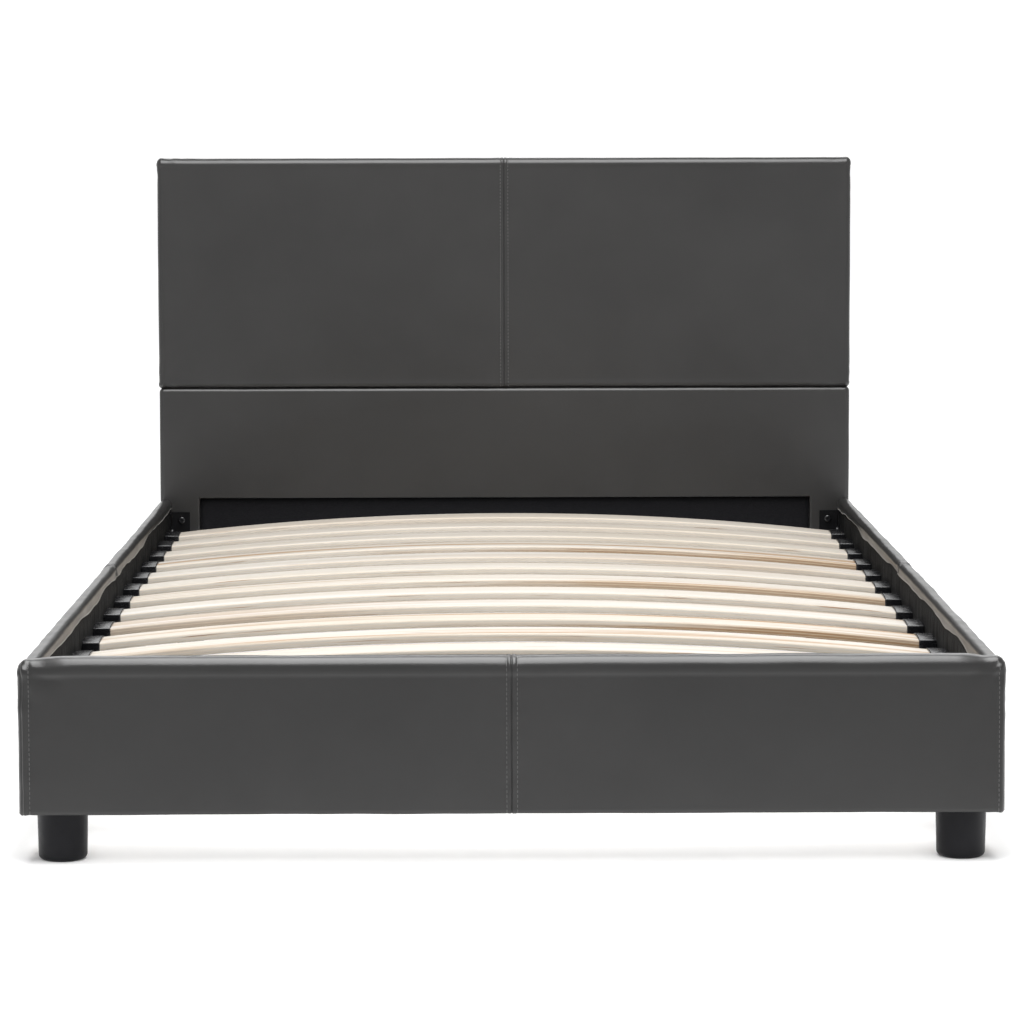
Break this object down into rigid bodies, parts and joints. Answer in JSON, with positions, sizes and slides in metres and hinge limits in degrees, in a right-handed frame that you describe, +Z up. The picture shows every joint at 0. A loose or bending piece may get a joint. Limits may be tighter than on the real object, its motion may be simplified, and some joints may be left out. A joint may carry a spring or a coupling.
{
  "type": "upholstered slatted bed",
  "caption": "Low platform bed with a padded artificial-leather headboard, rails and footboard, sprung wooden slats in plastic holders and cylinder feet.",
  "frame": {"origin": "on the floor, under the middle of the bed's outer box", "axes": "+Z up, +Y from the footboard to the headboard, +X across the bed to the right as seen from the footboard"},
  "size_m": [1.25, 2.092, 0.873],
  "materials": {
    "birch_ply": "smooth, unvarnished",
    "black_bolts": "black oxide, slightly glossy",
    "black_cloth": "matte, non-woven",
    "black_plastic": "semi-matte",
    "black_steel": "powder coat",
    "dark_leather": "satin, fine grain",
    "fibreboard": "raw",
    "foam": "matte",
    "lining_cloth": "matte, woven",
    "pine": "sawn",
    "zinc_steel": "zinc plated"
  },
  "bodies": {
    "root": {"corner_block_screws": "zinc_steel", "corner_bolts": "black_bolts", "corner_tee_nuts": "zinc_steel", "foot_left_corner_block": "pine", "foot_left_corner_bracket": "black_steel", "foot_left_foot": "black_plastic", "foot_right_corner_block": "pine", "foot_right_corner_bracket": "black_steel", "foot_right_foot": "black_plastic", "foot_studs": "zinc_steel", "foot_tee_nuts": "zinc_steel", "footboard_board": "fibreboard", "footboard_cover": "dark_leather", "footboard_foam": "foam", "footboard_lining": "lining_cloth", "head_left_corner_block": "pine", "head_left_corner_bracket": "black_steel", "head_left_foot": "black_plastic", "head_right_corner_block": "pine", "head_right_corner_bracket": "black_steel", "head_right_foot": "black_plastic", "headboard_joining_plates": "zinc_steel", "headboard_joining_screws": "zinc_steel", "headboard_lower_back_cloth": "black_cloth", "headboard_lower_cover": "dark_leather", "headboard_lower_face_board": "fibreboard", "headboard_lower_foam": "foam", "headboard_lower_frame": "pine", "headboard_lower_front_liner": "black_cloth", "headboard_upper_back_cloth": "black_cloth", "headboard_upper_cover": "dark_leather", "headboard_upper_face_board": "fibreboard", "headboard_upper_foam": "foam", "headboard_upper_frame": "pine", "ledger_screws": "zinc_steel", "left_ledger": "black_steel", "left_rail_board": "fibreboard", "left_rail_cover": "dark_leather", "left_rail_foam": "foam", "left_rail_lining": "lining_cloth", "left_slat_holders": "black_plastic", "right_ledger": "black_steel", "right_rail_board": "fibreboard", "right_rail_cover": "dark_leather", "right_rail_foam": "foam", "right_rail_lining": "lining_cloth", "right_slat_holders": "black_plastic", "slat_01": "birch_ply", "slat_02": "birch_ply", "slat_03": "birch_ply", "slat_04": "birch_ply", "slat_05": "birch_ply", "slat_06": "birch_ply", "slat_07": "birch_ply", "slat_08": "birch_ply", "slat_09": "birch_ply", "slat_10": "birch_ply", "slat_11": "birch_ply", "slat_12": "birch_ply", "slat_13": "birch_ply"}
  },
  "joints": []
}
